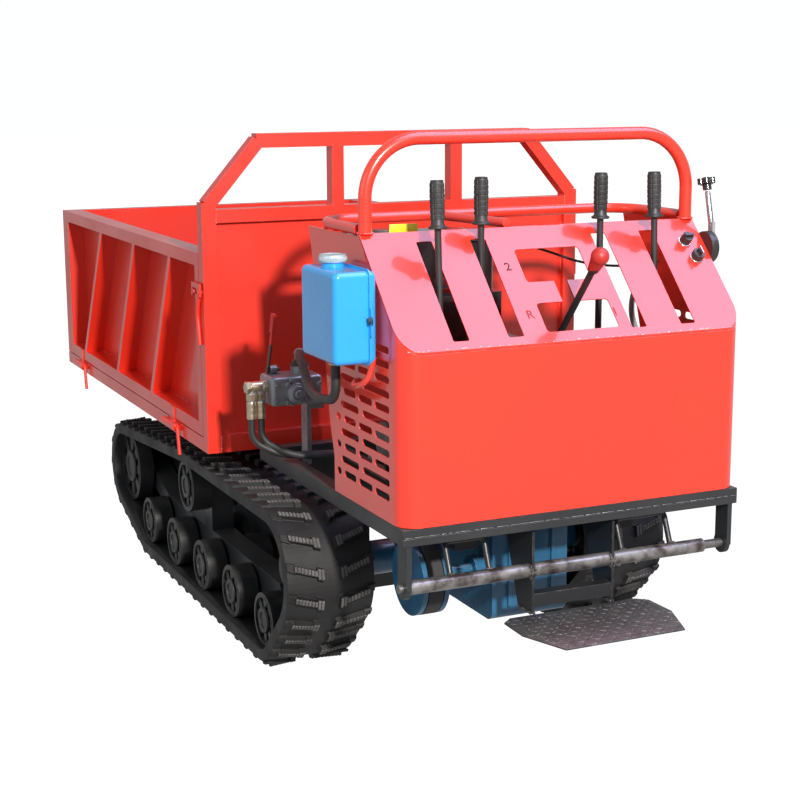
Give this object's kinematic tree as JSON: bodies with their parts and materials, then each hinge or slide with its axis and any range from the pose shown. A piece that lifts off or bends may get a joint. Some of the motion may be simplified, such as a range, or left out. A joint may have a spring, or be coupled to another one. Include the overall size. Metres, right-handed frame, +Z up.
{
  "type": "power wheelbarrow",
  "caption": "Walk-behind power wheelbarrow on rubber tracks: tipping drop-side bed, engine cover with lever console, handrail, headboard guard, oil tank and folding step.",
  "frame": {"origin": "on the ground under the middle of the machine's bounding box", "axes": "+Y from the operator's end to the tipping bed, +X to the operator's right, +Z up"},
  "size_m": [1.194, 2.862, 1.3975],
  "materials": {
    "red_sheet": "gloss",
    "console_red": "gloss",
    "red_tube": "gloss",
    "bed_red": "gloss",
    "latch_red": "gloss",
    "frame_black": "satin",
    "step_steel": "worn",
    "shaft_steel": "satin",
    "track_rubber": "matte",
    "wheel_black": "satin",
    "gear_blue": "gloss",
    "engine_grey": "cast",
    "engine_black": "gloss",
    "belt_rubber": "matte",
    "tank_blue": "gloss",
    "cap_silver": "satin",
    "pump_cast": "cast",
    "hose_rubber": "matte",
    "switch_black": "matte",
    "key_steel": "bright",
    "lever_black": "satin",
    "gear_lever_black": "satin",
    "throttle_metal": "bright",
    "valve_red": "gloss",
    "lift_black": "gloss",
    "rod_chrome": "bright"
  },
  "bodies": {
    "chassis": {"chassis_frame": "frame_black", "pivot_shafts": "shaft_steel", "gearbox": "gear_blue", "hood_shell": "red_sheet", "console_panel": "console_red", "hood_rails": "red_tube", "control_mounts": "switch_black", "engine_block": "engine_grey", "engine_shroud": "engine_black", "fuel_tank": "engine_black", "drive_belt": "belt_rubber", "left_track": "track_rubber", "right_track": "track_rubber", "left_track_frame": "frame_black", "right_track_frame": "frame_black", "oil_tank": "tank_blue", "hydraulic_pump": "pump_cast", "suction_hose": "hose_rubber", "lift_hoses": "hose_rubber"},
    "left_sprocket": {"left_sprocket": "wheel_black"},
    "left_idler": {"left_idler": "wheel_black"},
    "left_carrier_roller": {"left_carrier_roller": "wheel_black"},
    "left_roller_1": {"left_roller_1": "wheel_black"},
    "left_roller_2": {"left_roller_2": "wheel_black"},
    "left_roller_3": {"left_roller_3": "wheel_black"},
    "left_roller_4": {"left_roller_4": "wheel_black"},
    "left_roller_5": {"left_roller_5": "wheel_black"},
    "left_side_panel": {"left_side_panel": "bed_red"},
    "left_latch": {"left_latch": "latch_red"},
    "right_sprocket": {"right_sprocket": "wheel_black"},
    "right_idler": {"right_idler": "wheel_black"},
    "right_carrier_roller": {"right_carrier_roller": "wheel_black"},
    "right_roller_1": {"right_roller_1": "wheel_black"},
    "right_roller_2": {"right_roller_2": "wheel_black"},
    "right_roller_3": {"right_roller_3": "wheel_black"},
    "right_roller_4": {"right_roller_4": "wheel_black"},
    "right_roller_5": {"right_roller_5": "wheel_black"},
    "right_side_panel": {"right_side_panel": "bed_red"},
    "right_latch": {"right_latch": "latch_red"},
    "engine_pulley": {"engine_pulley": "engine_grey"},
    "gearbox_pulley": {"gearbox_pulley": "gear_blue"},
    "bed": {"bed_floor": "bed_red", "hinge_pins": "red_tube", "headboard": "red_tube"},
    "front_gate": {"front_gate": "bed_red"},
    "lift_barrel": {"lift_barrel": "lift_black"},
    "lift_rod": {"lift_rod": "rod_chrome"},
    "clutch_lever": {"clutch_lever": "lever_black"},
    "left_steering_lever": {"left_steering_lever": "lever_black"},
    "right_steering_lever": {"right_steering_lever": "lever_black"},
    "brake_lever": {"brake_lever": "lever_black"},
    "gear_yoke": {"gear_yoke": "shaft_steel"},
    "gear_lever": {"gear_lever": "gear_lever_black"},
    "light_switch_knob": {"light_switch_knob": "switch_black"},
    "ignition_key": {"ignition_key": "key_steel"},
    "throttle_lever": {"throttle_lever": "throttle_metal"},
    "oil_tank_cap": {"oil_tank_cap": "cap_silver"},
    "valve_lever": {"valve_lever": "valve_red"},
    "step": {"step_frame": "frame_black", "step_plate": "step_steel"}
  },
  "joints": [
    {"name": "left_sprocket_spin", "type": "hinge", "parent": "chassis", "child": "left_sprocket", "pos_m": [-0.434, -0.581, 0.273], "axis": [1, 0, 0], "continuous": true},
    {"name": "left_idler_spin", "type": "hinge", "parent": "chassis", "child": "left_idler", "pos_m": [-0.434, 0.8, 0.246], "axis": [1, 0, 0], "continuous": true},
    {"name": "left_carrier_roller_spin", "type": "hinge", "parent": "chassis", "child": "left_carrier_roller", "pos_m": [-0.434, 0.141, 0.332], "axis": [1, 0, 0], "continuous": true},
    {"name": "left_roller_1_spin", "type": "hinge", "parent": "chassis", "child": "left_roller_1", "pos_m": [-0.434, -0.519, 0.122], "axis": [1, 0, 0], "continuous": true},
    {"name": "left_roller_2_spin", "type": "hinge", "parent": "chassis", "child": "left_roller_2", "pos_m": [-0.434, -0.251, 0.122], "axis": [1, 0, 0], "continuous": true},
    {"name": "left_roller_3_spin", "type": "hinge", "parent": "chassis", "child": "left_roller_3", "pos_m": [-0.434, 0.017, 0.122], "axis": [1, 0, 0], "continuous": true},
    {"name": "left_roller_4_spin", "type": "hinge", "parent": "chassis", "child": "left_roller_4", "pos_m": [-0.434, 0.285, 0.122], "axis": [1, 0, 0], "continuous": true},
    {"name": "left_roller_5_spin", "type": "hinge", "parent": "chassis", "child": "left_roller_5", "pos_m": [-0.434, 0.553, 0.122], "axis": [1, 0, 0], "continuous": true},
    {"name": "left_side_drop", "type": "hinge", "parent": "bed", "child": "left_side_panel", "pos_m": [-0.586, 0.39, 0.531], "axis": [0, -1, 0], "range_deg": [0, 90]},
    {"name": "left_latch_turn", "type": "hinge", "parent": "bed", "child": "left_latch", "pos_m": [-0.581, -0.19, 0.95], "axis": [1, 0, 0], "range_deg": [0, 45]},
    {"name": "right_sprocket_spin", "type": "hinge", "parent": "chassis", "child": "right_sprocket", "pos_m": [0.434, -0.581, 0.273], "axis": [1, 0, 0], "continuous": true},
    {"name": "right_idler_spin", "type": "hinge", "parent": "chassis", "child": "right_idler", "pos_m": [0.434, 0.8, 0.246], "axis": [1, 0, 0], "continuous": true},
    {"name": "right_carrier_roller_spin", "type": "hinge", "parent": "chassis", "child": "right_carrier_roller", "pos_m": [0.434, 0.141, 0.332], "axis": [1, 0, 0], "continuous": true},
    {"name": "right_roller_1_spin", "type": "hinge", "parent": "chassis", "child": "right_roller_1", "pos_m": [0.434, -0.519, 0.122], "axis": [1, 0, 0], "continuous": true},
    {"name": "right_roller_2_spin", "type": "hinge", "parent": "chassis", "child": "right_roller_2", "pos_m": [0.434, -0.251, 0.122], "axis": [1, 0, 0], "continuous": true},
    {"name": "right_roller_3_spin", "type": "hinge", "parent": "chassis", "child": "right_roller_3", "pos_m": [0.434, 0.017, 0.122], "axis": [1, 0, 0], "continuous": true},
    {"name": "right_roller_4_spin", "type": "hinge", "parent": "chassis", "child": "right_roller_4", "pos_m": [0.434, 0.285, 0.122], "axis": [1, 0, 0], "continuous": true},
    {"name": "right_roller_5_spin", "type": "hinge", "parent": "chassis", "child": "right_roller_5", "pos_m": [0.434, 0.553, 0.122], "axis": [1, 0, 0], "continuous": true},
    {"name": "right_side_drop", "type": "hinge", "parent": "bed", "child": "right_side_panel", "pos_m": [0.586, 0.39, 0.531], "axis": [0, 1, 0], "range_deg": [0, 90]},
    {"name": "right_latch_turn", "type": "hinge", "parent": "bed", "child": "right_latch", "pos_m": [0.581, -0.19, 0.95], "axis": [1, 0, 0], "range_deg": [0, 45]},
    {"name": "gearbox_pulley_spin", "type": "hinge", "parent": "chassis", "child": "gearbox_pulley", "pos_m": [-0.284, -0.953, 0.333], "axis": [1, 0, 0], "continuous": true},
    {"name": "engine_pulley_spin", "type": "hinge", "parent": "chassis", "child": "engine_pulley", "pos_m": [-0.284, -0.813, 0.64], "axis": [1, 0, 0], "continuous": true},
    {"name": "bed_tip", "type": "hinge", "parent": "chassis", "child": "bed", "pos_m": [0, 1.172, 0.47], "axis": [-1, 0, 0], "range_deg": [0, 40]},
    {"name": "front_gate_drop", "type": "hinge", "parent": "bed", "child": "front_gate", "pos_m": [0, 1.42, 0.531], "axis": [-1, 0, 0], "range_deg": [0, 90]},
    {"name": "lift_swing", "type": "hinge", "parent": "chassis", "child": "lift_barrel", "pos_m": [0, 0.037, 0.3], "axis": [1, 0, 0], "range_deg": [0, 9.49]},
    {"name": "lift_extend", "type": "slide", "parent": "lift_barrel", "child": "lift_rod", "axis": [0, 0.9788, 0.205], "range_m": [0, 0.1214]},
    {"name": "clutch_lever_pull", "type": "hinge", "parent": "chassis", "child": "clutch_lever", "pos_m": [-0.298, -1.048, 0.585], "axis": [1, 0, 0], "range_deg": [-5, 12]},
    {"name": "left_steering_lever_pull", "type": "hinge", "parent": "chassis", "child": "left_steering_lever", "pos_m": [-0.16, -1.048, 0.585], "axis": [1, 0, 0], "range_deg": [0, 20]},
    {"name": "right_steering_lever_pull", "type": "hinge", "parent": "chassis", "child": "right_steering_lever", "pos_m": [0.165, -1.048, 0.585], "axis": [1, 0, 0], "range_deg": [0, 20]},
    {"name": "brake_lever_pull", "type": "hinge", "parent": "chassis", "child": "brake_lever", "pos_m": [0.3, -1.048, 0.585], "axis": [1, 0, 0], "range_deg": [-3, 16]},
    {"name": "gear_select", "type": "hinge", "parent": "chassis", "child": "gear_yoke", "pos_m": [0.015, -0.998, 0.5], "axis": [-1, 0, 0], "range_deg": [0, 14]},
    {"name": "gear_cross", "type": "hinge", "parent": "gear_yoke", "child": "gear_lever", "pos_m": [0.015, -0.998, 0.5], "axis": [0, 1, 0], "range_deg": [-6, 6]},
    {"name": "light_switch_turn", "type": "hinge", "parent": "chassis", "child": "light_switch_knob", "pos_m": [0.396, -1.0309, 1.11837], "axis": [0, -0.719, 0.695], "range_deg": [-90, 0]},
    {"name": "ignition_key_turn", "type": "hinge", "parent": "chassis", "child": "ignition_key", "pos_m": [0.408, -1.06566, 1.08243], "axis": [0, -0.719, 0.695], "range_deg": [-90, 0]},
    {"name": "throttle_swing", "type": "hinge", "parent": "chassis", "child": "throttle_lever", "pos_m": [0.47, -1.035, 1.103], "axis": [1, 0, 0], "range_deg": [-30, 45]},
    {"name": "oil_tank_cap_screw", "type": "hinge", "parent": "chassis", "child": "oil_tank_cap", "pos_m": [-0.508, -0.963, 1.113], "axis": [0, 0, 1], "range_deg": [0, 360]},
    {"name": "valve_lever_swing", "type": "hinge", "parent": "chassis", "child": "valve_lever", "pos_m": [-0.477, -0.468, 0.777], "axis": [1, 0, 0], "range_deg": [-15, 15], "stiffness_Nm_per_rad": 3},
    {"name": "step_fold", "type": "hinge", "parent": "chassis", "child": "step", "pos_m": [0, -1.178, 0.388], "axis": [-1, 0, 0], "range_deg": [0, 90]}
  ],
  "couplings": [
    {"joint": "left_idler_spin", "follows": "left_sprocket_spin", "ratio": 1.2207},
    {"joint": "left_carrier_roller_spin", "follows": "left_sprocket_spin", "ratio": 1.7829},
    {"joint": "left_roller_1_spin", "follows": "left_sprocket_spin", "ratio": 1.8562},
    {"joint": "left_roller_2_spin", "follows": "left_sprocket_spin", "ratio": 1.8562},
    {"joint": "left_roller_3_spin", "follows": "left_sprocket_spin", "ratio": 1.8562},
    {"joint": "left_roller_4_spin", "follows": "left_sprocket_spin", "ratio": 1.8562},
    {"joint": "left_roller_5_spin", "follows": "left_sprocket_spin", "ratio": 1.8562},
    {"joint": "right_idler_spin", "follows": "right_sprocket_spin", "ratio": 1.2207},
    {"joint": "right_carrier_roller_spin", "follows": "right_sprocket_spin", "ratio": 1.7829},
    {"joint": "right_roller_1_spin", "follows": "right_sprocket_spin", "ratio": 1.8562},
    {"joint": "right_roller_2_spin", "follows": "right_sprocket_spin", "ratio": 1.8562},
    {"joint": "right_roller_3_spin", "follows": "right_sprocket_spin", "ratio": 1.8562},
    {"joint": "right_roller_4_spin", "follows": "right_sprocket_spin", "ratio": 1.8562},
    {"joint": "right_roller_5_spin", "follows": "right_sprocket_spin", "ratio": 1.8562},
    {"joint": "engine_pulley_spin", "follows": "gearbox_pulley_spin", "ratio": 2.05},
    {"joint": "lift_swing", "follows": "bed_tip", "ratio": 0.23671},
    {"joint": "lift_extend", "follows": "bed_tip", "m_per_rad": 0.17323}
  ]
}
